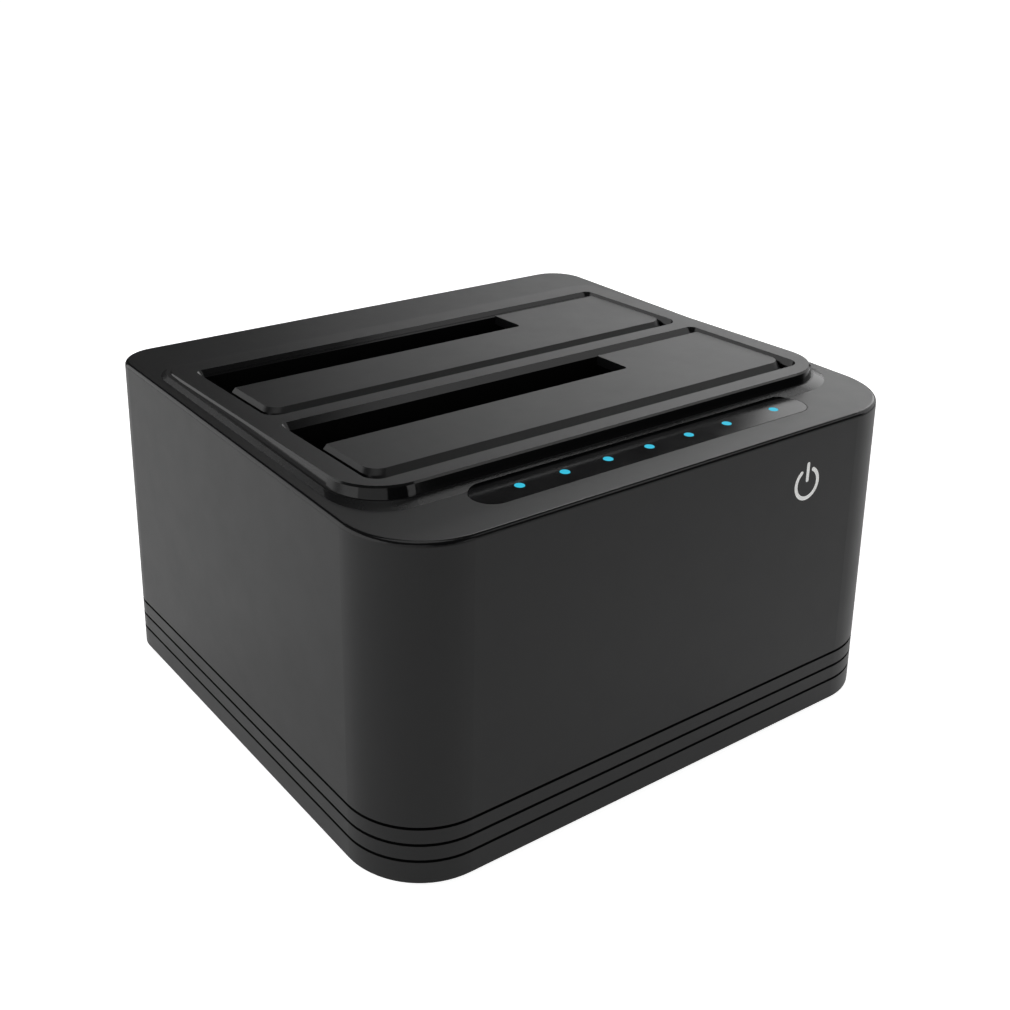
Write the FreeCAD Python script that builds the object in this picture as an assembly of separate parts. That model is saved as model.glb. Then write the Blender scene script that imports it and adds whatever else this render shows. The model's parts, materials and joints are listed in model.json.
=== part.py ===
"""Twin-bay hard-drive duplicator: a desktop dock that takes two bare SATA drives upright.

Millimetres, +X to the right seen from the front, +Y to the rear panel, +Z up.
The pieces are drawn about the middle of the base, on the surface the feet stand on, and
then set forward a little, so that the origin is the middle of the whole with its switch.
"""
import FreeCAD, Part
import math
import os

V = FreeCAD.Vector
X_AXIS = V(1, 0, 0)
Y_AXIS = V(0, 1, 0)
Z_AXIS = V(0, 0, 1)
FAR = 90.0                      # half-size of the cutting tools that must outreach the body

# --- housing: a moulded box whose walls lean in and whose deck rises to the rear ---
FOOT_H = 1.5                    # what the feet stand out under the base
BODY_W = 126.6                  # at the bottom edge
BODY_D = 112.7                  # at the bottom edge
DECK_FRONT_H = 65.4             # bottom edge to deck, at the front wall
DECK_REAR_H = 68.5              # bottom edge to deck, at the rear wall
DRAFT = 1.65                    # how far each wall has leaned in at DECK_FRONT_H
R_FRONT = 15.6
R_REAR = 8.1
WALL = 2.4
DECK_EDGE_R = 0.9
SET_FORWARD = 0.7               # half of what the power switch stands out at the rear
SEAM_H = 11.85                  # bottom edge to the middle of the cover-to-tray seam
SEAM_GAP = 0.6
GROOVE_PITCH = 3.4              # two dummy seams follow below the real one
GROOVE_DEPTH = 0.6
TONGUE_T = 1.1                  # the tray's tongue, half the wall, closes the seam
TONGUE_H = 2.0

# --- raised bezel with the two drive slots ---
PLATEAU_H = 68.8                # bottom edge to the level top of the bezel
PLATEAU_W = 114.3
PLATEAU_FRONT_Y = -38.5
PLATEAU_REAR_Y = 39.3
PLATEAU_R_FRONT = 10.5
PLATEAU_R_REAR = 5.0
PLATEAU_LEAN = 0.2              # its walls stand out by this much for each mm down
RIM = 0.35                      # the chamfer round its top
SKIRT_H = 0.65                  # a low skirt round it stands this far above the deck
SKIRT_LEDGE = 0.8               # top of the plateau to the skirt's upper edge
SKIRT_SIDE_RUN = 0.95           # the skirt's slope, from that edge to the deck
SKIRT_FRONT_RUN = 2.1
PLUG_H = 8.0
HOLE_INSET = 1.3
PLUG_INSET = 1.45

# --- drive slots and the wells under them ---
SLOT_W = 105.0
SLOT_D = 31.95
SLOT_FRONTS = {"front": -34.4, "rear": 1.5}
SLOT_R_FRONT = 3.2
SLOT_R_REAR = 1.6
LIP_DROP = 1.3                  # the slot's lip slopes in to the throat
LIP_SIDE = 0.8
LIP_REAR = 1.2
WELL_W = SLOT_W - 2 * LIP_SIDE
WELL_FLOOR_H = 18.5             # bottom edge to the floor that stops the drive
WELL_WALL = 2.0
FLOOR_T = 1.8
GUIDE_W = 2.0
GUIDE_H = 16.0
GUIDE_XS = (-42.0, -14.0, 14.0, 42.0)
DRIVE_T = 26.1                  # a 3.5 inch drive; 101.6 wide
DRIVE_GAP = 0.3

# --- spring flaps that close the slots ---
FLAP_RECESS = 0.35
FLAP_T = 2.0
FLAP_BEVEL = 0.8
FLAP_LEFT_X = -50.5
FLAP_RIGHT_X = 51.35
FLAP_FRONT = 4.3                # slot's front edge to where the flap's flat starts
FLAP_REAR = 28.9                # slot's front edge to the free edge
FLAP_R = 3.0
CUTOUT_RIGHT_X = 21.8           # the notch that always stays open for a 2.5 inch drive
CUTOUT_FRONT = 19.3
HINGE_BACK = 0.8                # hinge axis behind the slot's front edge
HINGE_DROP = 4.0                # hinge axis under the plateau
KNUCKLE_R = 1.9
KNUCKLES = ((-47.0, -41.0), (-3.0, 3.0), (42.0, 48.0))
EARS = ((-40.6, -37.0), (10.0, 13.6))
PIN_R = 1.0
PIN_L = 105.4
PIN_FIT = 0.04
SPRING_X = 28.0
SPRING_L = 9.0
SPRING_R = 1.5
SPRING_WIRE_R = 0.3
SPRING_BORE_R = 1.1
SPRING_TURNS = 5

# --- status window ---
WINDOW_X = (-39.1, 41.4)
WINDOW_Y = -44.1
WINDOW_W = 7.9
WINDOW_T = 1.5
WINDOW_GAP = 0.12
WINDOW_LEDGE = 1.3
LED_PITCH = 9.95
LED_FIRST_X = -29.1
LED_XS = tuple(LED_FIRST_X + i * LED_PITCH for i in range(6)) + (33.6,)
PIPE_R = 0.92

# --- boards ---
BOARD_T = 1.6
MAIN_BOARD_H = 12.5             # bottom edge to the underside of the main board
LED_BOARD_Z = 59.8
POST_R = 4.0
BOSS_R = 3.0
POSTS = tuple((x, y) for x in (-56.4, 56.4) for y in (-30.0, 28.0))
TABS = tuple((x, y) for x in (-57.5, 57.5) for y in (-20.0, 18.0))
TAB_BOSS_R = 1.75
TAB_Z = 61.2
TAB_T = 2.2
LED_POSTS = ((-45.0, WINDOW_Y), (46.6, WINDOW_Y))
SCREW_R = 1.25
SMALL_SCREW_R = 1.0
SCREW_FIT = 0.03

# --- SATA receptacles: the contacts sit 3.5 in front of the well's rear wall ---
SATA_W = 42.6
SATA_T = 5.8
SATA_H = 10.4
SATA_SIDE_TO_CENTRE = 30.12     # from the drive's left edge, the same on both drive sizes
SATA_REAR_TO_CENTRE = 3.8
SATA_PITCH = 1.27
SIGNAL_PINS = 7
POWER_PINS = 15
DRIVE_W = 101.6

# --- rear panel, left to right seen from behind: button, USB, DC inlet, power switch ---
SWITCH_X = -36.0
JACK_X = -14.0
USB_X = 6.0
BUTTON_X = 28.0
BUTTON_RISE = 5.0               # main board to the button's axis
PLUNGER_R = 1.5
SWITCH_H = 21.0                 # bottom edge to the rocker's centre
ROCKER_TILT = 10.0
ROCKER_Y = 54.6                 # the rocker's pivot
ROCKER_HALF_L = 3.3
PIVOT_R = 0.9

# --- derived levels ---
LEAN = DRAFT / DECK_FRONT_H
Z_BASE = FOOT_H
Z_SEAM = Z_BASE + SEAM_H
Z_COVER = Z_SEAM + SEAM_GAP / 2
Z_TRAY = Z_SEAM - SEAM_GAP / 2
Z_PLATEAU = Z_BASE + PLATEAU_H
Z_PLUG = Z_PLATEAU - PLUG_H
Z_FLOOR = Z_BASE + WELL_FLOOR_H
Z_BOARD = Z_BASE + MAIN_BOARD_H
Z_BOARD_TOP = Z_BOARD + BOARD_T
DECK_D = BODY_D - 2 * DRAFT
DECK_SLOPE = (DECK_REAR_H - DECK_FRONT_H) / DECK_D
TRAY_FLOOR_T = 2.2
BASE_CHAMFER = 0.5


def deck_z(y, drop=0.0):
    """Height of the deck's surface, or of a level below it, at a given depth."""
    return Z_BASE + DECK_FRONT_H + DECK_SLOPE * (y + DECK_D / 2) - drop


# ---------------------------------------------------------------- basic forms
def box(x0, x1, y0, y1, z0, z1):
    return Part.makeBox(x1 - x0, y1 - y0, z1 - z0, V(x0, y0, z0))


def rod(x, y, z, r, length, axis=Z_AXIS):
    return Part.makeCylinder(r, length, V(x, y, z), axis)


def fuse(shapes):
    """One solid out of overlapping shapes."""
    first = shapes[0]
    return first.multiFuse(shapes[1:]).removeSplitter()


def extrude_yz(points, x0, x1):
    """A prism along X with a section given as (y, z) points."""
    ring = [V(x0, y, z) for y, z in points]
    return Part.Face(Part.makePolygon(ring + ring[:1])).extrude(V(x1 - x0, 0, 0))


def extrude_xz(points, y0, y1):
    """A prism along Y with a section given as (x, z) points."""
    ring = [V(x, y0, z) for x, z in points]
    return Part.Face(Part.makePolygon(ring + ring[:1])).extrude(V(0, y1 - y0, 0))


def outline(x0, x1, y0, y1, r_front, r_rear, z):
    """A closed rectangular wire with its own front and rear corner radii."""
    corners = (
        (x1 - r_front, y0 + r_front, r_front, -90),
        (x1 - r_rear, y1 - r_rear, r_rear, 0),
        (x0 + r_rear, y1 - r_rear, r_rear, 90),
        (x0 + r_front, y0 + r_front, r_front, 180),
    )
    arcs = []
    for cx, cy, r, start in corners:
        turn = [math.radians(start + step) for step in (0, 45, 90)]
        points = [V(cx + r * math.cos(t), cy + r * math.sin(t), z) for t in turn]
        arcs.append(Part.Arc(*points).toShape())
    edges = []
    for arc, following in zip(arcs, arcs[1:] + arcs[:1]):
        edges.append(arc)
        start, end = arc.Vertexes[1].Point, following.Vertexes[0].Point
        edges.append(Part.LineSegment(start, end).toShape())
    return Part.Wire(edges)


def prism(wire, height):
    return Part.Face(wire).extrude(V(0, 0, height))


def loft(lower, upper):
    return Part.makeLoft([lower, upper], True, True)


def body_outline(z, inset):
    """The housing's outline at a height; the walls lean in as they rise."""
    shrink = LEAN * (z - Z_BASE) + inset
    half_w = BODY_W / 2 - shrink
    half_d = BODY_D / 2 - shrink
    r_front = R_FRONT - inset
    r_rear = R_REAR - inset
    return outline(-half_w, half_w, -half_d, half_d, r_front, r_rear, z)


def body_block(z0, z1, inset=0.0):
    return loft(body_outline(z0, inset), body_outline(z1, inset))


def under_deck(drop=0.0):
    """Everything below the deck's plane, or below a plane under it."""
    ends = [(y, deck_z(y, drop)) for y in (FAR, -FAR)]
    return extrude_yz([(-FAR, -FAR), (FAR, -FAR)] + ends, -FAR, FAR)


def stadium(x0, x1, y, width, z, height):
    r = width / 2
    return prism(outline(x0, x1, y - r, y + r, r - 0.001, r - 0.001, z), height)


def pan_screw(x, y, z_head, r, head_r, length):
    """A screw driven upwards: its head hangs under z_head."""
    head_h = 0.7 * head_r
    head = rod(x, y, z_head - head_h, head_r, head_h)
    recess = rod(x, y, z_head - head_h, head_r * 0.45, head_h * 0.5)
    return fuse([head, rod(x, y, z_head - 0.1, r, length + 0.1)]).cut(recess)


# ---------------------------------------------------------------- housing
def bezel_hole():
    return prism(plateau_outline(-HOLE_INSET, Z_PLUG - 10), 30)


def window_pocket(drop, inset):
    """The window's hole in the deck, down to a given depth below its surface."""
    x0, x1 = WINDOW_X
    slab = stadium(x0 + inset, x1 - inset, WINDOW_Y, WINDOW_W - 2 * inset, 50, 30)
    return slab.cut(under_deck(drop))


def usb_profile(x, z0, grow=0.0):
    """Section of the stacked USB 3.0 B mouth, as (x, z) points."""
    half, top_half, shoulder, height, corner = 4.25, 2.8, 7.3, 10.3, 1.2
    right = [
        (x + half + grow, z0 - grow),
        (x + half + grow, z0 + shoulder - corner + grow),
        (x + top_half + grow, z0 + shoulder + grow),
        (x + top_half + grow, z0 + height + grow),
    ]
    left = [(2 * x - px, pz) for px, pz in reversed(right)]
    return right + left


def rear_openings():
    """Holes in the rear wall for the sockets and controls."""
    y0, y1 = 50.0, 60.0
    z_row = Z_BASE + SWITCH_H
    usb = box(USB_X - 6.3, USB_X + 6.3, y0, y1, Z_BOARD_TOP - 0.2, Z_BOARD_TOP + 11.3)
    jack = rod(JACK_X, y0, Z_BOARD_TOP + 6.4, 4.3, 10, Y_AXIS)
    button = rod(BUTTON_X, y0, Z_BOARD_TOP + BUTTON_RISE, 3.6, 10, Y_AXIS)
    switch = box(SWITCH_X - 6.8, SWITCH_X + 6.8, y0, y1, z_row - 4.6, z_row + 4.6)
    return [usb, jack, button, switch]


def upper_cover():
    """The moulded hood: four leaning walls and the sloping deck, open below."""
    outer = body_block(Z_COVER, 80).common(under_deck())
    rim = [e for e in outer.Edges
           if all(abs(v.Z - deck_z(v.Y)) < 1e-3 for v in e.Vertexes)]
    outer = outer.makeFillet(DECK_EDGE_R, rim)
    inner = body_block(Z_COVER - 1, 80, WALL).common(under_deck(WALL))
    rebate = body_block(Z_COVER - 1, Z_TRAY + TONGUE_H + 0.1, WALL - TONGUE_T - 0.1)
    bosses = []
    for x, y in TABS:
        bosses.append(rod(x, y, TAB_Z, TAB_BOSS_R, 6).common(under_deck(0.6)))
    for x, y in LED_POSTS:
        bosses.append(rod(x, y, LED_BOARD_Z + BOARD_T, 2.4, 6).common(under_deck(0.6)))
    cover = fuse([outer.cut(inner)] + bosses)
    cuts = [rebate, bezel_hole(), window_pocket(WINDOW_T + 0.1, 0.0)]
    cuts.append(window_pocket(WALL + 1.0, WINDOW_LEDGE))
    for x, y in TABS + LED_POSTS:
        cuts.append(rod(x, y, 55, SMALL_SCREW_R + SCREW_FIT, 9.6))
    return cover.cut(cuts + rear_openings())


def dummy_seam(z):
    ring = body_block(z - SEAM_GAP / 2, z + SEAM_GAP / 2, -1.0)
    return ring.cut(body_block(z - SEAM_GAP / 2, z + SEAM_GAP / 2, GROOVE_DEPTH))


def base_tray():
    """The shallow tray that closes the housing from below."""
    chamfer = loft(body_outline(Z_BASE, BASE_CHAMFER), body_outline(Z_BASE + BASE_CHAMFER, 0))
    outer = fuse([chamfer, body_block(Z_BASE + BASE_CHAMFER, Z_TRAY)])
    inner = body_block(Z_BASE + TRAY_FLOOR_T, Z_TRAY + 1, WALL)
    tongue = body_block(Z_TRAY - 1, Z_TRAY + TONGUE_H, WALL - TONGUE_T)
    tongue = tongue.cut(body_block(Z_TRAY - 1, Z_TRAY + TONGUE_H, WALL))
    tray = fuse([outer.cut(inner), tongue])
    posts = [rod(x, y, Z_BASE + 0.5, POST_R, Z_BOARD - Z_BASE - 0.5) for x, y in POSTS]
    tray = fuse([tray] + posts)
    cuts = [dummy_seam(Z_SEAM - GROOVE_PITCH), dummy_seam(Z_SEAM - 2 * GROOVE_PITCH)]
    for x, y in POSTS:
        cuts.append(rod(x, y, Z_BASE - 1, 2.9, 4.4))
        cuts.append(rod(x, y, Z_BASE, SCREW_R + 0.25, 20))
    for x, y in foot_places():
        cuts.append(rod(x, y, Z_BASE - 1, 5.2, 1.5))
    for x in (-20.0, 20.0):
        for step in range(5):
            y = -16.0 + 8.0 * step
            cuts.append(stadium(x - 12, x + 12, y, 2.0, Z_BASE - 1, 6))
    return tray.cut(cuts)


def foot_places():
    return tuple((x, y) for x in (-49.0, 49.0) for y in (-44.0, 44.0))


def rubber_feet():
    feet = []
    for x, y in foot_places():
        foot = rod(x, y, 0, 5.1, FOOT_H + 0.5)
        sole = [e for e in foot.Edges if abs(e.BoundBox.ZMax) < 1e-6]
        feet.append(foot.makeChamfer(0.4, sole))
    return Part.makeCompound(feet)


def lip_outline(front, rise, z):
    """A slot's outline on its sloping lip: rise is 0 at the throat and 1 at the plateau."""
    half = WELL_W / 2 + LIP_SIDE * rise
    rear = front + SLOT_D - LIP_REAR * (1 - rise)
    r_front = SLOT_R_FRONT - LIP_SIDE * (1 - rise)
    r_rear = SLOT_R_REAR - LIP_SIDE * (1 - rise)
    return outline(-half, half, front, rear, r_front, r_rear, z)


def slot_cutter(front):
    """The space of one slot: an opening that narrows down the lip into a straight throat."""
    z_lip = Z_PLATEAU - LIP_DROP
    lip = loft(lip_outline(front, 0, z_lip), lip_outline(front, 2, z_lip + 2 * LIP_DROP))
    throat = prism(lip_outline(front, 0, Z_PLUG - 1), z_lip - Z_PLUG + 1)
    return fuse([lip, throat])


def hinge_ear(front, x0, x1):
    """A bracket on the pocket's front wall that carries the hinge pin."""
    y, z = front + HINGE_BACK, Z_PLATEAU - HINGE_DROP
    arm = box(x0, x1, y - HINGE_BACK - 1.6, y, z - KNUCKLE_R, z + KNUCKLE_R)
    return fuse([rod(x0, y, z, KNUCKLE_R, x1 - x0, X_AXIS), arm])


def plateau_outline(grow, z):
    """The bezel's outline, grown or shrunk all round."""
    half = PLATEAU_W / 2 + grow
    return outline(-half, half, PLATEAU_FRONT_Y - grow, PLATEAU_REAR_Y + grow,
                   PLATEAU_R_FRONT + grow, PLATEAU_R_REAR + grow, z)


def plateau():
    """The level top with its chamfered rim and its leaning walls."""
    z_rim = Z_PLATEAU - RIM
    walls = loft(plateau_outline(PLATEAU_LEAN * 6, z_rim - 6), plateau_outline(0, z_rim))
    return fuse([walls, loft(plateau_outline(0, z_rim), plateau_outline(-RIM, Z_PLATEAU))])


def skirt_outline(drops, z):
    """The skirt's outline, so many times its own height below its upper edge."""
    side = SKIRT_LEDGE + SKIRT_SIDE_RUN * drops
    half = PLATEAU_W / 2 + side
    y_front = PLATEAU_FRONT_Y - SKIRT_LEDGE - SKIRT_FRONT_RUN * drops
    return outline(-half, half, y_front, PLATEAU_REAR_Y + side,
                   PLATEAU_R_FRONT + SKIRT_LEDGE, PLATEAU_R_REAR + side, z)


def skirt():
    """The skirt round the plateau: a narrow ledge that follows the deck, then a slope into it."""
    z_ledge = deck_z(PLATEAU_FRONT_Y) + SKIRT_H
    body = loft(skirt_outline(3, z_ledge - 3 * SKIRT_H), skirt_outline(0, z_ledge))
    body.rotate(V(0, PLATEAU_FRONT_Y, z_ledge), X_AXIS, math.degrees(math.atan(DECK_SLOPE)))
    return body.cut(window_pocket(WALL, 0.0))


def slot_bezel():
    """The raised frame: a level plateau on a low skirt, with two lipped slots."""
    above_deck = fuse([plateau(), skirt()]).cut(under_deck())
    plug = prism(plateau_outline(-PLUG_INSET, Z_PLUG), PLUG_H - 1)
    bezel = fuse([above_deck, plug])
    cuts = []
    ears = []
    for front in SLOT_FRONTS.values():
        cuts.append(slot_cutter(front))
        z_roof = Z_PLATEAU - HINGE_DROP + KNUCKLE_R + 0.3
        rear = front + 8
        cuts.append(box(-WELL_W / 2, WELL_W / 2, front - 1.4, rear, Z_PLUG - 1, z_roof))
        ears += [hinge_ear(front, x0, x1) for x0, x1 in EARS]
    bezel = bezel.cut(cuts)
    bezel = fuse([bezel] + ears)
    bores = [pin_bore(front, PIN_R + PIN_FIT) for front in SLOT_FRONTS.values()]
    return bezel.cut(bores)


def pin_bore(front, r):
    y, z = front + HINGE_BACK, Z_PLATEAU - HINGE_DROP
    return rod(-PIN_L / 2, y, z, r, PIN_L, X_AXIS)


# ---------------------------------------------------------------- flaps
def flap_outline(front, z, left, front_edge):
    """The flap's rounded outline at one level of its bevelled edge."""
    return outline(left, FLAP_RIGHT_X, front + front_edge, front + FLAP_REAR, FLAP_R, 0.4, z)


def flap(front):
    """A door with bevelled edges, a notch for the small drive, and hinge knuckles."""
    z_top = Z_PLATEAU - FLAP_RECESS
    z_bevel = z_top - FLAP_BEVEL
    z_low = z_top - FLAP_T
    crown = loft(flap_outline(front, z_bevel, FLAP_LEFT_X, FLAP_FRONT - FLAP_BEVEL),
                 flap_outline(front, z_top, FLAP_LEFT_X + FLAP_BEVEL, FLAP_FRONT))
    slab = loft(flap_outline(front, z_low, FLAP_LEFT_X, FLAP_FRONT - FLAP_T),
                flap_outline(front, z_bevel, FLAP_LEFT_X, FLAP_FRONT - FLAP_BEVEL))
    y, z = front + HINGE_BACK, Z_PLATEAU - HINGE_DROP
    arms = []
    for x0, x1 in KNUCKLES:
        arms.append(rod(x0, y, z, KNUCKLE_R, x1 - x0, X_AXIS))
        web = [(y + 0.4, z + 1.7), (y + 2.2, z_low + 0.2), (y + 3.6, z_low + 0.2),
               (y + 3.6, z_low - 0.4), (y + 1.2, z - 1.1)]
        arms.append(extrude_yz(web, x0, x1))
    notch = outline(FLAP_LEFT_X - 5, CUTOUT_RIGHT_X, front + CUTOUT_FRONT,
                    front + FLAP_REAR + 5, 1.0, 1.0, z_low - 1)
    door = fuse([crown, slab] + arms)
    return door.cut([prism(notch, FLAP_T + 3), pin_bore(front, PIN_R + 0.06)])


def hinge_pin(front):
    pin = pin_bore(front, PIN_R)
    return pin.makeChamfer(0.2, [e for e in pin.Edges if e.BoundBox.XLength < 1e-6])


def flap_spring(front):
    """The torsion spring round the pin that lifts the flap shut, with its coils closed up."""
    y, z = front + HINGE_BACK, Z_PLATEAU - HINGE_DROP
    pitch = SPRING_L / SPRING_TURNS
    valley = SPRING_R - SPRING_WIRE_R
    crest = SPRING_R + SPRING_WIRE_R
    section = [V(0, SPRING_BORE_R, 0), V(0, valley, 0)]
    for turn in range(SPRING_TURNS):
        section.append(V((turn + 0.5) * pitch, crest, 0))
        section.append(V((turn + 1.0) * pitch, valley, 0))
    section.append(V(SPRING_L, SPRING_BORE_R, 0))
    ring = Part.Face(Part.makePolygon(section + section[:1]))
    coil = ring.revolve(V(0, 0, 0), X_AXIS, 360)
    coil.translate(V(SPRING_X, y, z))
    return coil


# ---------------------------------------------------------------- bay frame
def well_span(front):
    """Inner faces of a well's front and rear walls."""
    return front + 1.9, front + SLOT_D - LIP_REAR


def bay_frame():
    """One moulding with the two drive wells, the guides and the screw bosses."""
    half = WELL_W / 2
    front0 = well_span(SLOT_FRONTS["front"])
    rear0 = well_span(SLOT_FRONTS["rear"])
    z0, z1 = Z_FLOOR - FLOOR_T, Z_PLUG - 0.1
    block = box(-half - WELL_WALL, half + WELL_WALL, front0[0] - WELL_WALL,
                rear0[1] + WELL_WALL, z0, z1)
    cuts = [box(-half, half, y0, y1, Z_FLOOR, z1 + 1) for y0, y1 in (front0, rear0)]
    ribs = [-half, -half / 3, half / 3, half]
    for left, right in zip(ribs, ribs[1:]):
        gap_y = (front0[1] + WELL_WALL, rear0[0] - WELL_WALL)
        cuts.append(box(left + 1, right - 1, *gap_y, z0 - 1, z1 + 1))
    for front in SLOT_FRONTS.values():
        x, y = sata_centre(front)
        cuts.append(box(x - SATA_W / 2 - 0.3, x + SATA_W / 2 + 0.3,
                        y - SATA_T / 2 - 0.3, y + SATA_T / 2 + 0.3, z0 - 1, Z_FLOOR + 1))
    frame = block.cut(cuts)
    extras = []
    for front in SLOT_FRONTS.values():
        extras += [drive_guide(front, x) for x in GUIDE_XS]
    for x, y in POSTS:
        inward = math.copysign(BOSS_R, x)
        extras.append(rod(x, y, Z_BOARD_TOP, BOSS_R, 16))
        extras.append(box(min(x, x - inward), max(x, x - inward), y - 1.5, y + 1.5,
                          Z_FLOOR, Z_BOARD_TOP + 16))
    for x, y in TABS:
        side = math.copysign(1.0, x)
        ends = sorted((side * (half + 1), side * 59.1))
        extras.append(box(ends[0], ends[1], y - 3, y + 3, TAB_Z - TAB_T, TAB_Z))
        gusset = [(side * (half + 1), TAB_Z - 8), (side * 58.6, TAB_Z - TAB_T + 0.1),
                  (side * (half + 1), TAB_Z - TAB_T + 0.1)]
        extras.append(extrude_xz(gusset, y + 2, y + 3))
        extras.append(extrude_xz(gusset, y - 3, y - 2))
    frame = fuse([frame] + extras)
    holes = [rod(x, y, Z_BOARD_TOP - 1, SCREW_R + SCREW_FIT, 14) for x, y in POSTS]
    holes += [rod(x, y, TAB_Z - 6, SMALL_SCREW_R + 0.1, 8) for x, y in TABS]
    return frame.cut(holes)


def drive_guide(front, x):
    """A rib low in the well that holds a thick drive back against the rear wall."""
    y0, y1 = well_span(front)
    reach = y1 - DRIVE_GAP - DRIVE_T - 0.2
    section = [(y0 - 0.5, Z_FLOOR - 0.5), (reach, Z_FLOOR - 0.5),
               (reach, Z_FLOOR + GUIDE_H - 4), (y0 - 0.5, Z_FLOOR + GUIDE_H)]
    return extrude_yz(section, x - GUIDE_W / 2, x + GUIDE_W / 2)


# ---------------------------------------------------------------- SATA receptacles
def sata_centre(front):
    left_edge = -DRIVE_W / 2
    rear_wall = well_span(front)[1]
    return left_edge + SATA_SIDE_TO_CENTRE, rear_wall - SATA_REAR_TO_CENTRE


def sata_slots(x, y, z_top):
    """The keyed mouth: a short signal slot and a long power slot."""
    depth = 6.0
    signal = box(x - 17.0, x - 6.6, y - 1.3, y + 1.3, z_top - depth, z_top + 1)
    power = box(x - 5.0, x + 17.0, y - 1.3, y + 1.3, z_top - depth, z_top + 1)
    keys = [box(x - 7.9, x - 6.6, y - 2.2, y + 1.3, z_top - depth, z_top + 1)]
    keys.append(box(x + 15.7, x + 17.0, y - 2.2, y + 1.3, z_top - depth, z_top + 1))
    return [signal, power] + keys


def sata_connector(front):
    x, y = sata_centre(front)
    z_top = Z_BOARD_TOP + SATA_H
    body = box(x - SATA_W / 2, x + SATA_W / 2, y - SATA_T / 2, y + SATA_T / 2,
               Z_BOARD_TOP, z_top)
    rim = [e for e in body.Edges if all(abs(v.Z - z_top) < 1e-6 for v in e.Vertexes)]
    body = body.makeChamfer(0.5, rim)
    ends = [box(x + side * 19.4 - 1.0, x + side * 19.4 + 1.0, y - 1.8, y + 1.8,
                z_top - 4.5, z_top + 1) for side in (-1, 1)]
    return body.cut(sata_slots(x, y, z_top) + ends)


def sata_contacts(front):
    """The row of blades that stands against the slots' rear face."""
    x, y = sata_centre(front)
    z0 = Z_BOARD_TOP + SATA_H - 6.0
    blades = []
    for count, middle in ((SIGNAL_PINS, -11.8), (POWER_PINS, 6.0)):
        for i in range(count):
            bx = x + middle + (i - (count - 1) / 2) * SATA_PITCH
            blades.append(box(bx - 0.3, bx + 0.3, y + 0.95, y + 1.3, z0, z0 + 5.2))
    return Part.makeCompound(blades)


# ---------------------------------------------------------------- boards
def main_board():
    board = box(-59.0, 59.0, -47.0, 50.5, Z_BOARD, Z_BOARD_TOP)
    upright = [e for e in board.Edges if e.BoundBox.ZLength > 1]
    board = board.makeChamfer(7.0, upright)
    return board.cut([rod(x, y, Z_BOARD - 1, SCREW_R + 0.35, 4) for x, y in POSTS])


def bridge_controller():
    """The bridge chip: a flat square package with rows of gull-wing leads."""
    x, y, half = 30.0, -28.0, 7.0
    chip = box(x - half, x + half, y - half, y + half, Z_BOARD_TOP, Z_BOARD_TOP + 1.4)
    rim = [e for e in chip.Edges if all(v.Z > Z_BOARD_TOP + 1 for v in e.Vertexes)]
    return chip.makeChamfer(0.25, rim)


def capacitors():
    """Electrolytic cans beside the DC inlet."""
    cans = []
    for x, y, r, h in ((-23.5, 44.0, 3.15, 9.0), (17.5, 44.0, 3.15, 9.0), (-51.0, 41.0, 4.0, 11.0)):
        can = rod(x, y, Z_BOARD_TOP, r, h)
        rim = [e for e in can.Edges if e.BoundBox.ZMin > Z_BOARD_TOP + 1]
        cans.append(can.makeChamfer(0.4, rim))
    return Part.makeCompound(cans)


def power_inductors():
    coils = []
    for x in (41.0, 50.0):
        coil = box(x - 3.5, x + 3.5, 37.0, 44.0, Z_BOARD_TOP, Z_BOARD_TOP + 4.0)
        upright = [e for e in coil.Edges if e.BoundBox.ZLength > 1]
        coils.append(coil.makeFillet(1.4, upright))
    return Part.makeCompound(coils)


def led_board():
    board = box(-48.5, 50.0, WINDOW_Y - 3.6, WINDOW_Y + 3.6, LED_BOARD_Z, LED_BOARD_Z + BOARD_T)
    return board.cut([rod(x, y, LED_BOARD_Z - 1, SMALL_SCREW_R + 0.2, 4) for x, y in LED_POSTS])


def status_leds():
    z0 = LED_BOARD_Z + BOARD_T
    chips = [box(x - 1.4, x + 1.4, WINDOW_Y - 0.9, WINDOW_Y + 0.9, z0, z0 + 0.9) for x in LED_XS]
    return Part.makeCompound(chips)


def led_ribbon():
    """The flat lead from the LED board down to the main board's socket."""
    y = WINDOW_Y - 0.4
    return box(-16.0, -8.0, y, y + 0.5, Z_BOARD_TOP + 2.6, LED_BOARD_Z)


def ribbon_socket():
    return box(-17.0, -7.0, WINDOW_Y - 1.6, WINDOW_Y + 1.6, Z_BOARD_TOP, Z_BOARD_TOP + 2.6)


# ---------------------------------------------------------------- status window
def led_window():
    """The gloss lens, flush with the deck, with a step that drops through it."""
    x0, x1 = WINDOW_X
    gap = WINDOW_GAP
    deck = under_deck()
    plate = stadium(x0 + gap, x1 - gap, WINDOW_Y, WINDOW_W - 2 * gap, 50, 30)
    plate = plate.common(deck).cut(under_deck(WINDOW_T))
    inset = WINDOW_LEDGE + 0.15
    step = stadium(x0 + inset, x1 - inset, WINDOW_Y, WINDOW_W - 2 * inset, 50, 30)
    step = step.common(under_deck(WINDOW_T - 0.1)).cut(under_deck(WALL))
    return fuse([plate, step]).cut([rod(x, WINDOW_Y, 50, PIPE_R + 0.05, 30) for x in LED_XS])


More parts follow.
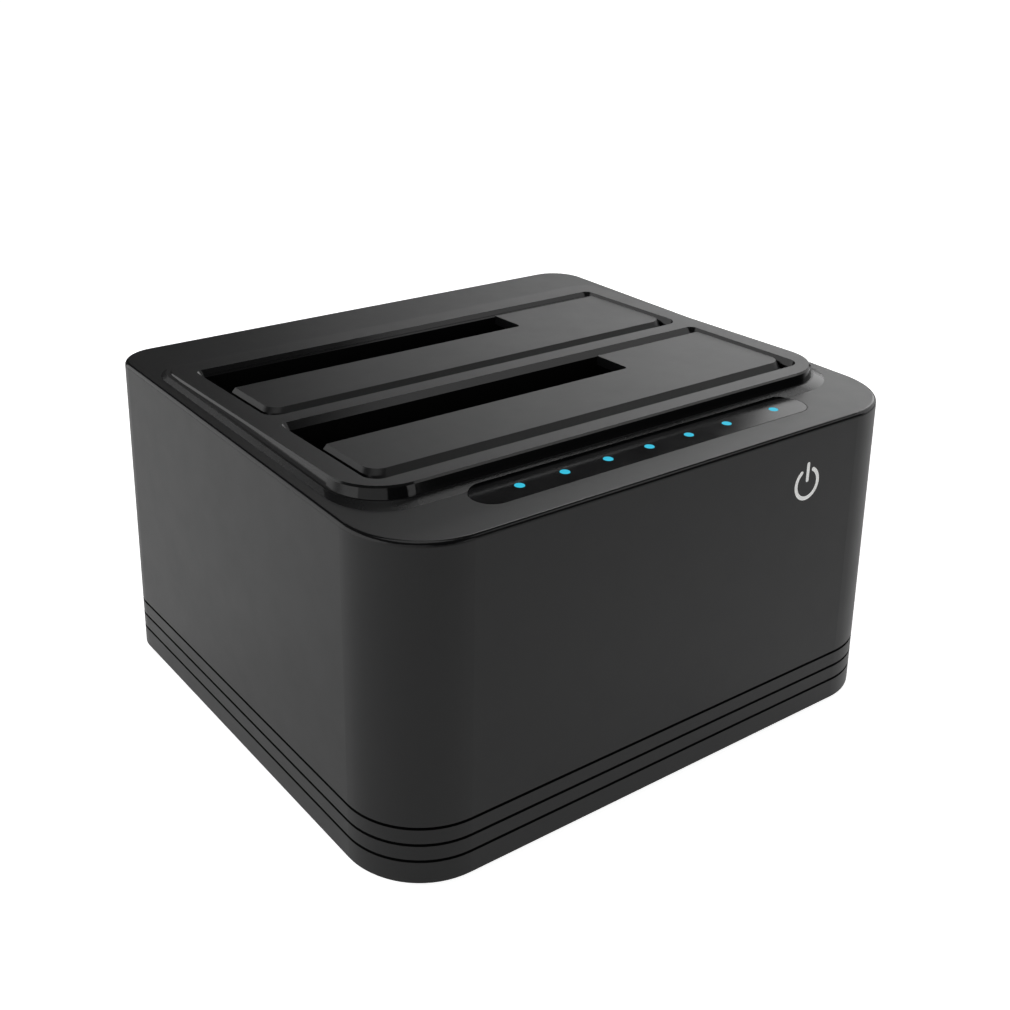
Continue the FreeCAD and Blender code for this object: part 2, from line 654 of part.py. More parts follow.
def light_pipes():
    """Clear pins on a carrier bar that bring each LED up to the window's face."""
    z0 = LED_BOARD_Z + BOARD_T + 1.0
    bar = box(LED_XS[0] - 2.5, LED_XS[-1] + 2.5, WINDOW_Y - 1.8, WINDOW_Y + 1.8, z0, z0 + 1.0)
    deck = under_deck()
    pins = [rod(x, WINDOW_Y, z0, PIPE_R, 20).common(deck) for x in LED_XS]
    return fuse([bar] + pins)


# ---------------------------------------------------------------- rear panel pieces
def usb_port_shell():
    """The drawn steel shell of the stacked USB 3.0 B socket."""
    x, y0, y1, z0 = USB_X, 39.0, 55.2, Z_BOARD_TOP
    shell = box(x - 6.05, x + 6.05, y0, y1, z0, z0 + 10.9)
    upright = [e for e in shell.Edges if e.BoundBox.YLength > 5]
    shell = shell.makeFillet(0.6, upright)
    lining = box(x - 5.7, x + 5.7, y1 - 12, y1 - 0.4, z0 + 0.35, z0 + 10.55)
    mouth = extrude_xz(usb_profile(x, z0 + 0.35), y1 - 13, y1 + 1)
    lining = lining.cut(extrude_xz(usb_profile(x, z0 + 0.35, 0.35), y1 - 13, y1 + 1))
    return shell.cut([mouth, lining.cut(box(x - 6, x + 6, y1 - 12.1, y1 - 11.0, z0, z0 + 12))])


def usb_port_tongue():
    x, y0, y1, z0 = USB_X, 42.2, 54.2, Z_BOARD_TOP + 0.35
    low = box(x - 2.8, x + 2.8, y0, y1, z0 + 2.2, z0 + 5.2)
    high = box(x - 2.0, x + 2.0, y0, y1, z0 + 8.0, z0 + 9.0)
    return fuse([low, high, box(x - 2.0, x + 2.0, y0, y0 + 0.6, z0 + 2.2, z0 + 9.0)])


def dc_jack_body():
    x, y1, z = JACK_X, 53.2, Z_BOARD_TOP + 6.4
    body = box(x - 4.5, x + 4.5, y1 - 13, y1, Z_BOARD_TOP, Z_BOARD_TOP + 11.0)
    collar = rod(x, y1 - 1, z, 4.1, 3.0, Y_AXIS)
    return fuse([body, collar]).cut(rod(x, y1 - 7.5, z, 3.15, 12, Y_AXIS))


def dc_jack_pin():
    x, y0, z = JACK_X, 45.7, Z_BOARD_TOP + 6.4
    pin = rod(x, y0, z, 1.0, 8.4, Y_AXIS)
    tip = [e for e in pin.Edges if e.BoundBox.YMin > y0 + 1 and e.BoundBox.YLength < 0.01]
    return pin.makeChamfer(0.4, tip)


def power_switch_body():
    """The rocker's panel frame: a flange outside the wall and a box inside it."""
    x, z = SWITCH_X, Z_BASE + SWITCH_H
    flange = box(x - 7.6, x + 7.6, 56.0, 57.0, z - 5.4, z + 5.4)
    rim = [e for e in flange.Edges if all(v.Y > 56.9 for v in e.Vertexes)]
    flange = flange.makeChamfer(0.5, rim)
    case = box(x - 6.6, x + 6.6, 43.0, 56.4, z - 4.4, z + 4.4)
    body = fuse([flange, case])
    well = box(x - 5.9, x + 5.9, 51.4, 58.0, z - 3.7, z + 3.7)
    return body.cut([well, rocker_pivot(PIVOT_R + 0.05, ROCKER_HALF_L + 0.75)])


def rocker_pivot(r, half_length):
    z = Z_BASE + SWITCH_H
    return rod(SWITCH_X, ROCKER_Y, z - half_length, r, 2 * half_length)


def power_rocker():
    """The rocker, resting on its OFF side; it turns about a pin across the frame."""
    x, z = SWITCH_X, Z_BASE + SWITCH_H
    y = ROCKER_Y
    section = [(x - 5.1, y - 1.0), (x - 5.3, y + 2.3), (x, y + 1.4), (x + 5.3, y + 2.3),
               (x + 5.1, y - 1.0), (x, y - 2.0)]
    ring = [V(px, py, z - ROCKER_HALF_L) for px, py in section]
    rocker = Part.Face(Part.makePolygon(ring + ring[:1])).extrude(V(0, 0, 2 * ROCKER_HALF_L))
    tips = [e for e in rocker.Edges if all(v.Y > y + 2 for v in e.Vertexes)]
    rocker = fuse([rocker.makeChamfer(0.3, tips), rocker_pivot(PIVOT_R, ROCKER_HALF_L + 0.7)])
    rocker.rotate(V(x, y, z), Z_AXIS, -ROCKER_TILT)
    return rocker


def clone_button():
    """The push cap that starts a copy; a flange keeps it behind the wall."""
    x, z = BUTTON_X, Z_BOARD_TOP + BUTTON_RISE
    cap = rod(x, 50.8, z, 3.3, 6.5, Y_AXIS)
    dome = [e for e in cap.Edges if e.BoundBox.YMin > 57 and e.BoundBox.YLength < 0.01]
    flange = rod(x, 52.2, z, 4.6, 1.0, Y_AXIS)
    return fuse([cap.makeChamfer(0.4, dome), flange]).cut(plunger_rod(x, z, PLUNGER_R + 0.02))


def plunger_rod(x, z, r):
    return rod(x, 46.2, z, r, 7.8, Y_AXIS)


def switch_plunger():
    """The switch's stem, which carries the cap."""
    return plunger_rod(BUTTON_X, Z_BOARD_TOP + BUTTON_RISE, PLUNGER_R)


def clone_switch():
    """The right-angle push switch on the main board."""
    x, z = BUTTON_X, Z_BOARD_TOP
    base = box(x - 3.6, x + 3.6, 42.0, 49.0, z, z + 8.4)
    return base.cut(rod(x, 44.8, z + BUTTON_RISE, PLUNGER_R + 0.08, 6, Y_AXIS))


# ---------------------------------------------------------------- fasteners
def case_screws():
    return screw_set(POSTS, Z_BASE + 3.4, SCREW_R, 2.6, 21)


def frame_screws():
    return screw_set(TABS, TAB_Z - TAB_T, SMALL_SCREW_R, TAB_BOSS_R, 5.4)


def led_board_screws():
    return screw_set(LED_POSTS, LED_BOARD_Z, SMALL_SCREW_R, 2.1, 4.6)


def screw_set(places, z_head, r, head_r, length):
    return Part.makeCompound([pan_screw(x, y, z_head, r, head_r, length) for x, y in places])


NODES = {
    "upper_cover": upper_cover,
    "base_tray": base_tray,
    "rubber_feet": rubber_feet,
    "slot_bezel": slot_bezel,
    "bay_frame": bay_frame,
    "main_board": main_board,
    "bridge_controller": bridge_controller,
    "capacitors": capacitors,
    "power_inductors": power_inductors,
    "led_board": led_board,
    "status_leds": status_leds,
    "led_ribbon": led_ribbon,
    "ribbon_socket": ribbon_socket,
    "led_window": led_window,
    "light_pipes": light_pipes,
    "usb_port_shell": usb_port_shell,
    "usb_port_tongue": usb_port_tongue,
    "dc_jack_body": dc_jack_body,
    "dc_jack_pin": dc_jack_pin,
    "power_switch_body": power_switch_body,
    "power_rocker": power_rocker,
    "clone_button": clone_button,
    "clone_switch": clone_switch,
    "switch_plunger": switch_plunger,
    "case_screws": case_screws,
    "frame_screws": frame_screws,
    "led_board_screws": led_board_screws,
}
BAY_NODES = {
    "flap": flap,
    "hinge_pin": hinge_pin,
    "flap_spring": flap_spring,
    "sata_connector": sata_connector,
    "sata_contacts": sata_contacts,
}


def main():
    os.makedirs("parts", exist_ok=True)
    shapes = {name: make() for name, make in NODES.items()}
    for bay, front in SLOT_FRONTS.items():
        for name, make in BAY_NODES.items():
            shapes[f"{name}_{bay}"] = make(front)
    for name, shape in shapes.items():
        shape.translate(V(0, -SET_FORWARD, 0))
        shape.exportStep(f"parts/{name}.step")
        print(f"{name}: {len(shape.Solids)} solid(s), valid {shape.isValid()}, {shape.Volume:.0f} mm3")


main()
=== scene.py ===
"""The looks of a twin-bay hard-drive duplicator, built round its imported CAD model."""

import json
import math

import bmesh
import bpy
from mathutils import Matrix, Vector


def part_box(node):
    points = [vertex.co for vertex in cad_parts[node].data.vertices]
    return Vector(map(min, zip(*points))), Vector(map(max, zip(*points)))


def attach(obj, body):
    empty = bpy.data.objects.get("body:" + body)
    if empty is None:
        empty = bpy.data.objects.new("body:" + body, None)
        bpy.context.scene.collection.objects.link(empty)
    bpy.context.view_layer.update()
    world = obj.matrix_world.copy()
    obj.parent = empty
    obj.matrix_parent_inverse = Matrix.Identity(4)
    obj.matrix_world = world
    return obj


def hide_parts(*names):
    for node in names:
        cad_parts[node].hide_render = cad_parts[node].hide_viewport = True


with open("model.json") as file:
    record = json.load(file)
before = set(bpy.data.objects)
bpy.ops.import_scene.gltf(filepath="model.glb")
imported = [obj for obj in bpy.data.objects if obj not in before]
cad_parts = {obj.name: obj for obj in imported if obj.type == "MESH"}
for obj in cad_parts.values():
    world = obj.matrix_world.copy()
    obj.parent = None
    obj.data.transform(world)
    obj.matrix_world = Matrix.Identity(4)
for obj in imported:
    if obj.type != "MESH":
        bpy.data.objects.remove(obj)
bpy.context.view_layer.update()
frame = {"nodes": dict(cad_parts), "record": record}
NODES = frame["nodes"]
BAYS = ("front", "rear")
MM = 0.001


# ---------------------------------------------------------------- node helpers
NOISE_LOW, NOISE_HIGH = 0.3, 0.7    # nearly all of a noise's values lie between these
TONE_DRIFT = 20 * MM                # how broad the patches of slightly other tone are
GLOSS_DRIFT = 6 * MM                # and those of slightly other gloss
SPARK_GRAIN = 0.16 * MM             # the texture that a spark-eroded mould leaves


class Shade:
    """A short way to build a Principled material from nodes."""

    def __init__(self, name, base, roughness, **sockets):
        self.material = bpy.data.materials.new(name)
        self.material.use_nodes = True
        self.tree = self.material.node_tree
        self.bsdf = self.tree.nodes["Principled BSDF"]
        self.bsdf.inputs["Base Color"].default_value = (*base, 1)
        self.bsdf.inputs["Roughness"].default_value = roughness
        for socket, value in sockets.items():
            self.bsdf.inputs[socket.replace("_", " ")].default_value = value
        self.object_coords = self.add("ShaderNodeTexCoord").outputs["Object"]

    def add(self, kind, **settings):
        node = self.tree.nodes.new(kind)
        for key, value in settings.items():
            setattr(node, key, value)
        return node

    def link(self, output, socket):
        self.tree.links.new(output, socket)

    def noise(self, size, detail=3.0):
        """Noise whose features are about size metres across."""
        node = self.add("ShaderNodeTexNoise")
        node.inputs["Scale"].default_value = 1 / size
        node.inputs["Detail"].default_value = detail
        node.inputs["Roughness"].default_value = 0.55
        self.link(self.object_coords, node.inputs["Vector"])
        return node.outputs["Fac"]

    def spread(self, value, low, high, lo_in=NOISE_LOW, hi_in=NOISE_HIGH):
        """The value moved from the range lo_in to hi_in into low to high."""
        node = self.add("ShaderNodeMapRange")
        node.inputs["From Min"].default_value = lo_in
        node.inputs["From Max"].default_value = hi_in
        node.inputs["To Min"].default_value = low
        node.inputs["To Max"].default_value = high
        self.link(value, node.inputs["Value"])
        return node.outputs["Result"]

    def math(self, operation, first, second):
        node = self.add("ShaderNodeMath", operation=operation)
        self.link(first, node.inputs[0])
        self.link(second, node.inputs[1])
        return node.outputs["Value"]

    def ramp(self, value, *stops):
        """A colour read from (position, colour) stops, which rise in position."""
        node = self.add("ShaderNodeValToRGB")
        elements = node.color_ramp.elements
        for element, (position, colour) in zip(elements, (stops[0], stops[-1])):
            element.position = position
            element.color = (*colour, 1)
        for position, colour in stops[1:-1]:
            elements.new(position).color = (*colour, 1)
        self.link(value, node.inputs["Fac"])
        return node.outputs["Color"]

    def tint(self, size, dark, light):
        """Base colour that wanders between two shades, over about size metres."""
        colour = self.ramp(self.noise(size), (NOISE_LOW, dark), (NOISE_HIGH, light))
        self.link(colour, self.bsdf.inputs["Base Color"])

    def vary_roughness(self, size, low, high):
        self.link(self.spread(self.noise(size), low, high), self.bsdf.inputs["Roughness"])

    def bump(self, height, depth):
        node = self.add("ShaderNodeBump")
        node.inputs["Strength"].default_value = 1.0
        node.inputs["Distance"].default_value = depth
        self.link(height, node.inputs["Height"])
        self.link(node.outputs["Normal"], self.bsdf.inputs["Normal"])


def scaled(colour, factor):
    return [c * factor for c in colour]


def moulded(name, base, roughness, grain=SPARK_GRAIN, depth=0.000006, **sockets):
    """Moulded plastic: a fine sparked grain, slow tone drift and slightly uneven gloss."""
    s = Shade(name, base, roughness, **sockets)
    s.tint(TONE_DRIFT, scaled(base, 0.95), scaled(base, 1.05))
    s.vary_roughness(GLOSS_DRIFT, roughness - 0.02, roughness + 0.02)
    s.bump(s.noise(grain, detail=2.0), depth)
    return s.material


def textured_top(name, base, flat, edge, wall, shallow=None, **sockets):
    """Moulded plastic with its texture rubbed smooth on the edges, so that gloss follows slope.

    The four values are the roughness of level tops, rounded edges, upright walls and, where
    it differs from the edges', shallow slopes.
    """
    s = Shade(name, base, flat, **sockets)
    s.tint(TONE_DRIFT, scaled(base, 0.95), scaled(base, 1.05))
    facing = s.add("ShaderNodeSeparateXYZ")
    s.link(s.add("ShaderNodeTexCoord").outputs["Normal"], facing.inputs["Vector"])
    shallow = shallow or edge
    stops = ((0.30, wall), (0.45, edge), (0.72, edge), (0.82, shallow), (0.95, shallow), (0.985, flat))
    gloss = s.ramp(facing.outputs["Z"], *((up, [rough] * 3) for up, rough in stops))
    uneven = s.spread(s.noise(GLOSS_DRIFT), -0.015, 0.015)
    s.link(s.math("ADD", gloss, uneven), s.bsdf.inputs["Roughness"])
    s.bump(s.noise(SPARK_GRAIN, detail=2.0), 0.000003)
    return s.material


def metal(name, base, roughness):
    """Bare or plated metal: faint cloudiness, uneven polish and a drawn surface."""
    s = Shade(name, base, roughness, Metallic=1.0)
    s.tint(0.004, scaled(base, 0.94), base)
    s.vary_roughness(0.002, roughness - 0.05, roughness + 0.05)
    s.bump(s.noise(0.0004), 0.000002)
    return s.material


def solder_mask():
    """Green board with faint tracks under the mask."""
    s = Shade("solder_mask", (0.012, 0.085, 0.035), 0.32)
    tracks = s.add("ShaderNodeTexBrick")
    tracks.inputs["Scale"].default_value = 260
    tracks.inputs["Mortar Size"].default_value = 0.08
    tracks.inputs["Color1"].default_value = (0.012, 0.085, 0.035, 1)
    tracks.inputs["Color2"].default_value = (0.014, 0.095, 0.040, 1)
    tracks.inputs["Mortar"].default_value = (0.020, 0.130, 0.055, 1)
    s.link(s.object_coords, tracks.inputs["Vector"])
    s.link(tracks.outputs["Color"], s.bsdf.inputs["Base Color"])
    s.bump(tracks.outputs["Fac"], 0.00002)
    return s.material


def clear_pipe():
    """Clear plastic that carries the light of the LEDs behind it."""
    s = Shade("clear_pipe", (0.004, 0.030, 0.040), 0.40, IOR=1.22)
    glow = s.ramp(s.noise(0.0009), (0.0, (0.012, 0.44, 0.62)), (1.0, (0.024, 0.53, 0.74)))
    s.link(glow, s.bsdf.inputs["Emission Color"])
    s.bsdf.inputs["Emission Strength"].default_value = 1.0
    return s.material


def ink_with_painted_glow():
    """White printed ink made to glow faintly by emission: a painted glow, as no lamp lies behind it.
    """
    s = Shade("printed_ink_painted_glow", (0.92, 0.92, 0.90), 0.5)
    s.tint(0.0006, (0.88, 0.88, 0.86), (0.93, 0.93, 0.92))
    # Painted glow: an emission of uneven strength lights the ink up in place of light falling on it.
    s.bsdf.inputs["Emission Color"].default_value = (1.0, 1.0, 0.98, 1)
    s.link(s.spread(s.noise(0.003), 0.20, 0.30), s.bsdf.inputs["Emission Strength"])
    return s.material


BLACK = (0.0040, 0.0041, 0.0044)
DEEP_BLACK = (0.0068, 0.0069, 0.0072)
BLACK_IOR = 1.42
MATERIALS = {
    "housing": textured_top("housing_plastic", BLACK, 0.40, 0.16, 0.40, IOR=BLACK_IOR),
    "bezel": textured_top("bezel_plastic", DEEP_BLACK, 0.40, 0.13, 0.06, shallow=0.27, IOR=BLACK_IOR),
    "door": textured_top("door_plastic", BLACK, 0.40, 0.36, 0.30, IOR=BLACK_IOR),
    "frame": moulded("frame_plastic", (0.032, 0.032, 0.034), 0.5, grain=0.0003),
    "lens": moulded("lens_plastic", (0.0040, 0.0040, 0.0045), 0.15, depth=0.0000005, IOR=1.28),
    "light_pipe": clear_pipe(),
    "led": moulded("led_package", (0.30, 0.60, 0.75), 0.3),
    "board": solder_mask(),
    "connector": moulded("connector_nylon", (0.014, 0.014, 0.015), 0.42, grain=0.0003),
    "contact": metal("gold_contact", (0.83, 0.62, 0.28), 0.22),
    "chip": moulded("chip_epoxy", (0.018, 0.018, 0.019), 0.45),
    "can": metal("can_aluminium", (0.70, 0.71, 0.73), 0.30),
    "inductor": moulded("ferrite", (0.05, 0.05, 0.055), 0.6, grain=0.0004, depth=0.00002),
    "ribbon": moulded("ribbon_vinyl", (0.45, 0.45, 0.43), 0.45),
    "steel": metal("drawn_steel", (0.60, 0.61, 0.62), 0.28),
    "plated": metal("nickel_plate", (0.72, 0.72, 0.73), 0.20),
    "tongue": moulded("blue_insulator", (0.015, 0.11, 0.48), 0.38),
    "control": moulded("control_plastic", (0.014, 0.014, 0.015), 0.25, depth=0.000002),
    "foot": moulded("foot_rubber", (0.020, 0.020, 0.020), 0.75, grain=0.0004, depth=0.00002),
    "print": ink_with_painted_glow(),
    "mark": moulded("mark_ink", (0.80, 0.80, 0.78), 0.5, depth=0.000001),
}

for part in frame["record"]["subparts"]:
    slots = NODES[part["node"]].data.materials
    slots.clear()
    slots.append(MATERIALS[part["material_slot"]])


# ---------------------------------------------------------------- geometry helpers
def scene_object(name, data):
    obj = bpy.data.objects.new(name, data)
    bpy.context.scene.collection.objects.link(obj)
    return obj


def mesh_object(name, bm):
    mesh = bpy.data.meshes.new(name)
    bm.to_mesh(mesh)
    bm.free()
    return scene_object(name, mesh)


def piece_of(name, bm, material, body):
    """A closed mesh made into a piece of the object."""
    bmesh.ops.recalc_face_normals(bm, faces=bm.faces)
    obj = mesh_object(name, bm)
    obj.data.materials.append(material)
    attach(obj, body)
    return obj


def join_rings(bm, ring, following):
    """Walls between two closed rings with the same number of corners."""
    for i in range(len(ring)):
        j = (i + 1) % len(ring)
        bm.faces.new((ring[i], ring[j], following[j], following[i]))


def add_plate(bm, ring, to_world, depth):
    """A thin raised plate with an outline given in (u, v) and placed by to_world."""
    low = [bm.verts.new(to_world(u, v, 0.0)) for u, v in ring]
    top = [bm.verts.new(to_world(u, v, depth)) for u, v in ring]
    bm.faces.new(top)
    bm.faces.new(low[::-1])
    join_rings(bm, low, top)


def arc_points(cx, cy, r, start, end, steps):
    """Points on an arc, angles in degrees."""
    turns = [math.radians(start + (end - start) * i / steps) for i in range(steps + 1)]
    return [(cx + r * math.cos(t), cy + r * math.sin(t)) for t in turns]


def arc_stroke(r, start, end, width):
    """The outline of a round-ended stroke along an arc about the origin."""
    half = width / 2
    ends = [(r * math.cos(math.radians(a)), r * math.sin(math.radians(a))) for a in (start, end)]
    outer = arc_points(0, 0, r + half, start, end, 60)
    inner = arc_points(0, 0, r - half, end, start, 60)
    far_cap = arc_points(*ends[1], half, end, end + 180, 8)
    near_cap = arc_points(*ends[0], half, start + 180, start + 360, 8)
    return outer[:-1] + far_cap[:-1] + inner[:-1] + near_cap[:-1]


def bar_stroke(low, high, width):
    """The outline of an upright round-ended bar."""
    half = width / 2
    return arc_points(0, high - half, half, 0, 180, 8) + arc_points(0, low + half, half, 180, 360, 8)


# ---------------------------------------------------------------- printed power symbol
TRAY_LOW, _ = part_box("base_tray")
WALL_LEAN = 1.65 / 65.4           # how far the walls lean in for each unit of height
SYMBOL_X = 32.6 * MM
SYMBOL_Z = 55.6 * MM
RING_R = 3.04 * MM
STROKE = 0.8 * MM
INK = 0.03 * MM                   # thickness of a printed mark
INK_SUNK = 0.005 * MM             # how deep its underside lies in the surface


def on_front_wall(u, v, lift):
    """A point on the leaning front wall, u right and v up from the symbol's centre."""
    z = SYMBOL_Z + v
    y = TRAY_LOW.y + WALL_LEAN * (z - TRAY_LOW.z)
    return Vector((SYMBOL_X + u, y - lift + INK_SUNK, z))


def power_symbol():
    """The standby mark: a broken ring, open at its top, and an upright bar."""
    bm = bmesh.new()
    add_plate(bm, arc_stroke(RING_R, 125, 360 + 61, STROKE), on_front_wall, INK)
    add_plate(bm, bar_stroke(0.3 * MM, 4.4 * MM, STROKE), on_front_wall, INK)
    piece_of("power_symbol", bm, MATERIALS["print"], "housing")


power_symbol()


# ---------------------------------------------------------------- rocker marks
MARK_U = 2.75 * MM                # from the rocker's middle to each mark
MARK_STROKE = 0.4 * MM
FACE_MIDDLE = 1.4 * MM            # from the pivot out to the middle of the dished face
FACE_RISE = 0.9 / 5.3             # how fast the face rises towards its tips
ROCKER_REST = math.radians(-10)   # how far the rocker is turned at rest
ROCKER_PIVOT = Vector(next(joint["pos_m"] for joint in frame["record"]["behaviour"]["joints"]
                           if joint["name"] == "power_rocker_hinge"))


def rocker_mark(name, outlines, side):
    """A printed mark on one half of the rocker's dished face."""
    turn = Matrix.Rotation(ROCKER_REST, 3, "Z")

    def on_face(u, v, lift):
        along = side * MARK_U + u
        out = FACE_MIDDLE + FACE_RISE * abs(along) + lift - INK_SUNK
        return ROCKER_PIVOT + turn @ Vector((along, out, v))

    bm = bmesh.new()
    for outline in outlines:
        add_plate(bm, outline, on_face, INK)
    piece_of(name, bm, MATERIALS["mark"], "rocker")


rocker_mark("rocker_mark_on", [bar_stroke(-1.2 * MM, 1.2 * MM, MARK_STROKE)], -1)
rocker_mark("rocker_mark_off", [arc_stroke(1.0 * MM, 90, 271, MARK_STROKE),
                                arc_stroke(1.0 * MM, -90, 91, MARK_STROKE)], 1)


# ---------------------------------------------------------------- springs and screws
WIRE_R = 0.3 * MM
COIL_R = 1.42 * MM
COIL_TURNS = 13
COIL_STEPS = 18                   # points to a turn


def coil_spring(bay):
    """The flap's torsion spring as real wire wound on the pin."""
    low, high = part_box(f"flap_spring_{bay}")
    middle = (low + high) / 2
    start, run = low.x + WIRE_R, high.x - low.x - 2 * WIRE_R
    count = COIL_TURNS * COIL_STEPS + 1
    name = f"spring_wire_{bay}"
    data = bpy.data.curves.new(name, "CURVE")
    data.dimensions = "3D"
    data.bevel_depth = WIRE_R
    data.bevel_resolution = 3
    data.use_fill_caps = True
    spline = data.splines.new("POLY")
    spline.points.add(count - 1)
    for i, point in enumerate(spline.points):
        turn = 2 * math.pi * i / COIL_STEPS
        point.co = (start + run * i / (count - 1), middle.y + COIL_R * math.sin(turn),
                    middle.z + COIL_R * math.cos(turn), 1)
    data.materials.append(MATERIALS["steel"])
    wire = scene_object(name, data)
    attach(wire, "housing")
    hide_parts(f"flap_spring_{bay}")


def lathe(bm, profile, x, y, steps=32):
    """Spins (radius, z) points round a vertical axis at x, y, closed at both ends."""
    rings = [[bm.verts.new((x + r * math.cos(a), y + r * math.sin(a), z))
              for a in (2 * math.pi * i / steps for i in range(steps))] for r, z in profile]
    for ring, following in zip(rings, rings[1:]):
        join_rings(bm, ring, following)
    bm.faces.new(rings[0][::-1])
    bm.faces.new(rings[-1])


def add_tapered_cross(bm, x, y, z, span, width, depth):
    """A solid cross, widest at z and narrowing upwards, which cuts a driver recess."""
    for along, across in ((span, width), (width, span)):
        low, top = [], []
        for sx, sy in ((-1, -1), (1, -1), (1, 1), (-1, 1)):
            low.append(bm.verts.new((x + sx * along / 2, y + sy * across / 2, z - depth)))
            top.append(bm.verts.new((x + sx * along * 0.3, y + sy * across * 0.3, z + depth)))
        bm.faces.new(low[::-1])
        bm.faces.new(top)
        join_rings(bm, low, top)


def subtract(obj, cutters):
    """Cuts the cutters' solids out of obj for good."""
    bmesh.ops.recalc_face_normals(cutters, faces=cutters.faces)
    tool = mesh_object("cutters", cutters)
    cut = obj.modifiers.new("recess", "BOOLEAN")
    cut.operation = "DIFFERENCE"
    cut.solver = "EXACT"
    cut.use_self = True
    cut.object = tool
    bpy.context.view_layer.objects.active = obj
    bpy.ops.object.modifier_apply(modifier=cut.name)
    bpy.data.objects.remove(tool)


def case_screws():
    """Four pan-head screws with cross recesses, driven upwards from the base."""
    low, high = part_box("case_screws")
    head_r = 2.6 * MM
    shank_r = 1.25 * MM
    root_r = 0.8 * shank_r
    head_h = 0.7 * head_r
    length = high.z - low.z
    profile = [(0.62 * head_r, 0), (0.84 * head_r, 0.12 * head_h), (0.96 * head_r, 0.38 * head_h),
               (head_r, 0.7 * head_h), (head_r, head_h), (shank_r, head_h)]
    pitch = 0.7 * MM
    z = head_h + 0.4 * MM
    while z < length - 1.2 * MM:
        profile += [(root_r, z), (shank_r, z + pitch / 2)]
        z += pitch
    profile += [(root_r, z), (0.5 * shank_r, length)]
    screws, crosses = bmesh.new(), bmesh.new()
    for x in (low.x + head_r, high.x - head_r):
        for y in (low.y + head_r, high.y - head_r):
            lathe(screws, [(r, low.z + up) for r, up in profile], x, y)
            add_tapered_cross(crosses, x, y, low.z, 1.15 * head_r, 0.3 * head_r, 0.55 * head_h)
    piece = piece_of("cross_head_screws", screws, MATERIALS["steel"], "housing")
    subtract(piece, crosses)
    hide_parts("case_screws")


for name in BAYS:
    coil_spring(name)
case_screws()


# ---------------------------------------------------------------- stage, light, camera
FLOOR_GLOW_SEEN = 0.92
FLOOR_GLOW_REFLECTED = 0.42
FLOOR_NEAR, FLOOR_FAR = 0.40, 0.75    # the glow fades out between these distances
ROOM_LIGHT = 0.045
STUDIO_AIM = Vector((0, 0, 0.05))
SOFT_BOX_DISTANCE = 2.6
STANDING_DISTANCE = 0.62
STANDING_GAP = 0.003                  # keeps a standing light's lower edge off the floor


def floor_material():
    """White to the camera; in reflections it glows near the object and is dark far off."""
    s = Shade("floor_paper", (0.80, 0.80, 0.80), 0.8)
    path = s.add("ShaderNodeLightPath")
    reflected = s.math("MAXIMUM", path.outputs["Is Glossy Ray"],
                       path.outputs["Is Transmission Ray"])
    distance = s.add("ShaderNodeVectorMath", operation="LENGTH")
    s.link(s.object_coords, distance.inputs[0])
    near = s.spread(distance.outputs["Value"], 1.0, 0.0, FLOOR_NEAR, FLOOR_FAR)
    near.node.interpolation_type = "SMOOTHSTEP"
    glow = s.spread(near, 0.0, FLOOR_GLOW_REFLECTED, 0.0, 1.0)
    strength = s.add("ShaderNodeMix", data_type="FLOAT")
    s.link(path.outputs["Is Camera Ray"], strength.inputs[0])
    s.link(s.math("MULTIPLY", glow, reflected), strength.inputs[2])
    strength.inputs[3].default_value = FLOOR_GLOW_SEEN
    white = s.add("ShaderNodeEmission")
    s.link(strength.outputs[0], white.inputs["Strength"])
    paper = s.add("ShaderNodeAddShader")
    s.link(s.bsdf.outputs["BSDF"], paper.inputs[0])
    s.link(white.outputs["Emission"], paper.inputs[1])
    dark = s.add("ShaderNodeBsdfDiffuse")
    dark.inputs["Color"].default_value = (0.02, 0.02, 0.02, 1)
    mix = s.add("ShaderNodeMixShader")
    s.link(s.math("MULTIPLY", reflected, s.spread(near, 1.0, 0.0, 0.0, 1.0)), mix.inputs["Fac"])
    s.link(paper.outputs["Shader"], mix.inputs[1])
    s.link(dark.outputs["BSDF"], mix.inputs[2])
    s.link(mix.outputs["Shader"], s.tree.nodes["Material Output"].inputs["Surface"])
    return s.material


def make_floor():
    bm = bmesh.new()
    bmesh.ops.create_grid(bm, x_segments=1, y_segments=1, size=3.0)
    floor = mesh_object("floor", bm)
    floor.data.materials.append(floor_material())


def area_light(name, place, aim, width, height, power):
    data = bpy.data.lights.new(name, "AREA")
    data.energy = power
    data.shape = "RECTANGLE"
    data.size, data.size_y = width, height
    light = scene_object(name, data)
    light.location = place
    light.rotation_euler = (aim - place).to_track_quat("-Z", "Y").to_euler()
    light.visible_camera = False


def direction(azimuth, elevation=0.0):
    """The way to these angles in degrees, azimuth from +Y towards +X."""
    a, e = math.radians(azimuth), math.radians(elevation)
    return Vector((math.sin(a) * math.cos(e), math.cos(a) * math.cos(e), math.sin(e)))


def soft_box(name, azimuth, elevation, width, height, radiance):
    """A soft box at these angles from the object."""
    place = STUDIO_AIM + direction(azimuth, elevation) * SOFT_BOX_DISTANCE
    area_light(name, place, STUDIO_AIM, width, height, radiance * math.pi * width * height)


def standing_light(name, azimuth, width, height, radiance):
    """A soft box that stands on the floor near the object."""
    middle = Vector((0, 0, height / 2 + STANDING_GAP))
    place = middle + direction(azimuth) * STANDING_DISTANCE
    area_light(name, place, middle, width, height, radiance * math.pi * width * height)


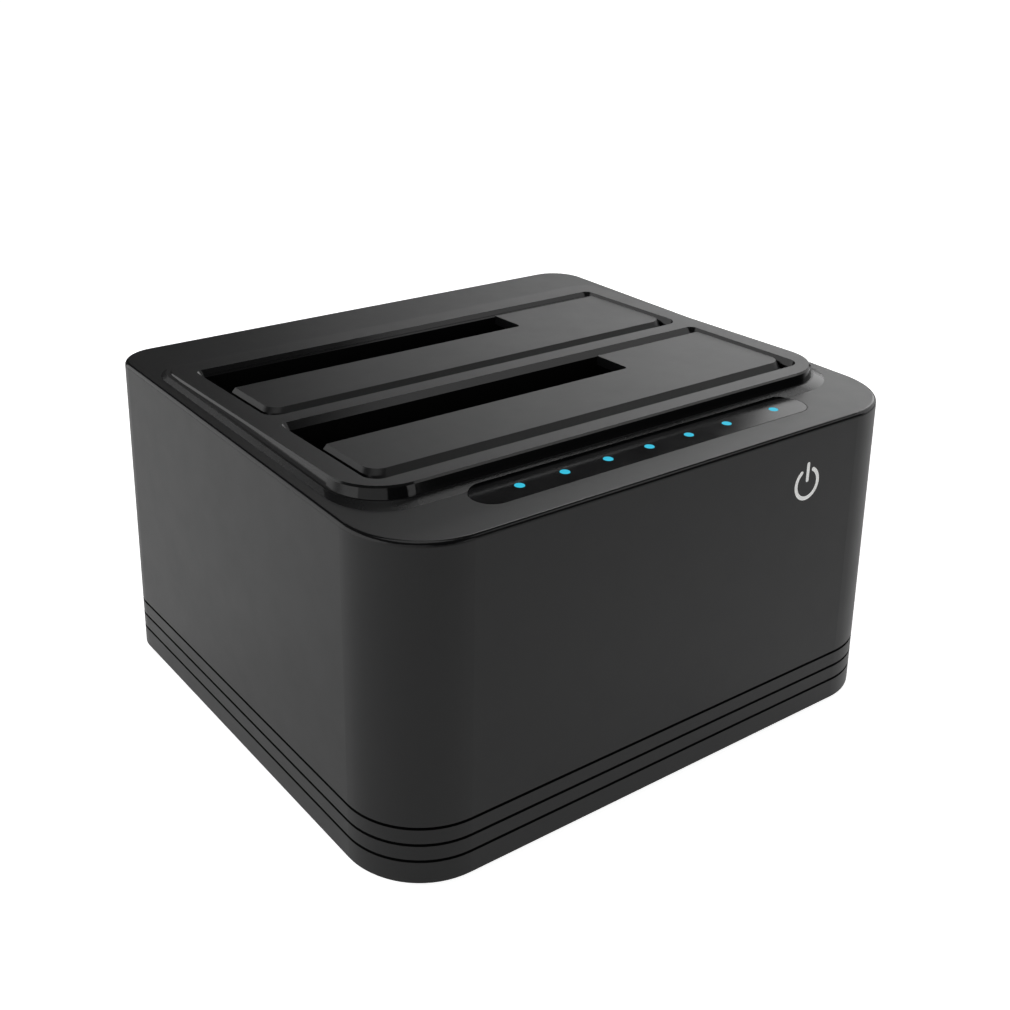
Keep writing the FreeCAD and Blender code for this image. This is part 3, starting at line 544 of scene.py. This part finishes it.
def make_world():
    """White to the camera, and a dim even room to everything else."""
    world = bpy.data.worlds.new("studio")
    bpy.context.scene.world = world
    world.use_nodes = True
    tree = world.node_tree
    room = tree.nodes["Background"]
    room.inputs["Color"].default_value = (1, 1, 1, 1)
    room.inputs["Strength"].default_value = ROOM_LIGHT
    white = tree.nodes.new("ShaderNodeBackground")
    white.inputs["Color"].default_value = (1, 1, 1, 1)
    path = tree.nodes.new("ShaderNodeLightPath")
    mix = tree.nodes.new("ShaderNodeMixShader")
    tree.links.new(path.outputs["Is Camera Ray"], mix.inputs["Fac"])
    tree.links.new(room.outputs["Background"], mix.inputs[1])
    tree.links.new(white.outputs["Background"], mix.inputs[2])
    tree.links.new(mix.outputs["Shader"], tree.nodes["World Output"].inputs["Surface"])


def make_camera():
    data = bpy.data.cameras.new("camera")
    data.sensor_width = 36
    data.lens = 45.33
    data.shift_x = 0.0506
    data.shift_y = -0.0036
    data.clip_start = 0.01
    camera = scene_object("camera", data)
    place = Vector((-0.1516, -0.1986, 0.1551))
    aim = Vector((-0.01532, -0.00608, 0.04587))
    camera.location = place
    camera.rotation_euler = (aim - place).to_track_quat("-Z", "Y").to_euler()
    bpy.context.scene.camera = camera


make_floor()
make_world()
make_camera()

# name, azimuth, elevation, width, height, radiance
soft_box("right_soft", 63.8, 23.5, 1.01, 1.35, 2.2)
soft_box("far_right_soft", 95.5, 19, 1.94, 1.8, 0.9)
soft_box("side_soft", 120, 44, 0.9, 0.8, 1.1)
soft_box("low_soft_1", 32, 8, 0.36, 0.66, 1.1)
soft_box("low_soft_2", 40, 8, 0.36, 0.66, 2.1)
soft_box("low_soft_3", 48, 8, 0.36, 0.66, 2.8)
soft_box("high_soft_1", 32, 42, 0.75, 0.60, 1.3)
soft_box("high_soft_2", 50, 42, 0.60, 0.60, 5.5)
area_light("overhead_soft", Vector((0, 0.05, 1.6)), Vector((0, 0, 0)), 1.0, 1.0, 3.2)

# name, azimuth, width, height, radiance
standing_light("left_box", 298, 1.30, 0.62, 1.3)
standing_light("front_left_box", 228, 0.55, 0.40, 0.6)
standing_light("front_strip", 163, 0.15, 0.30, 1.0)
bpy.context.scene.view_settings.view_transform = "Standard"
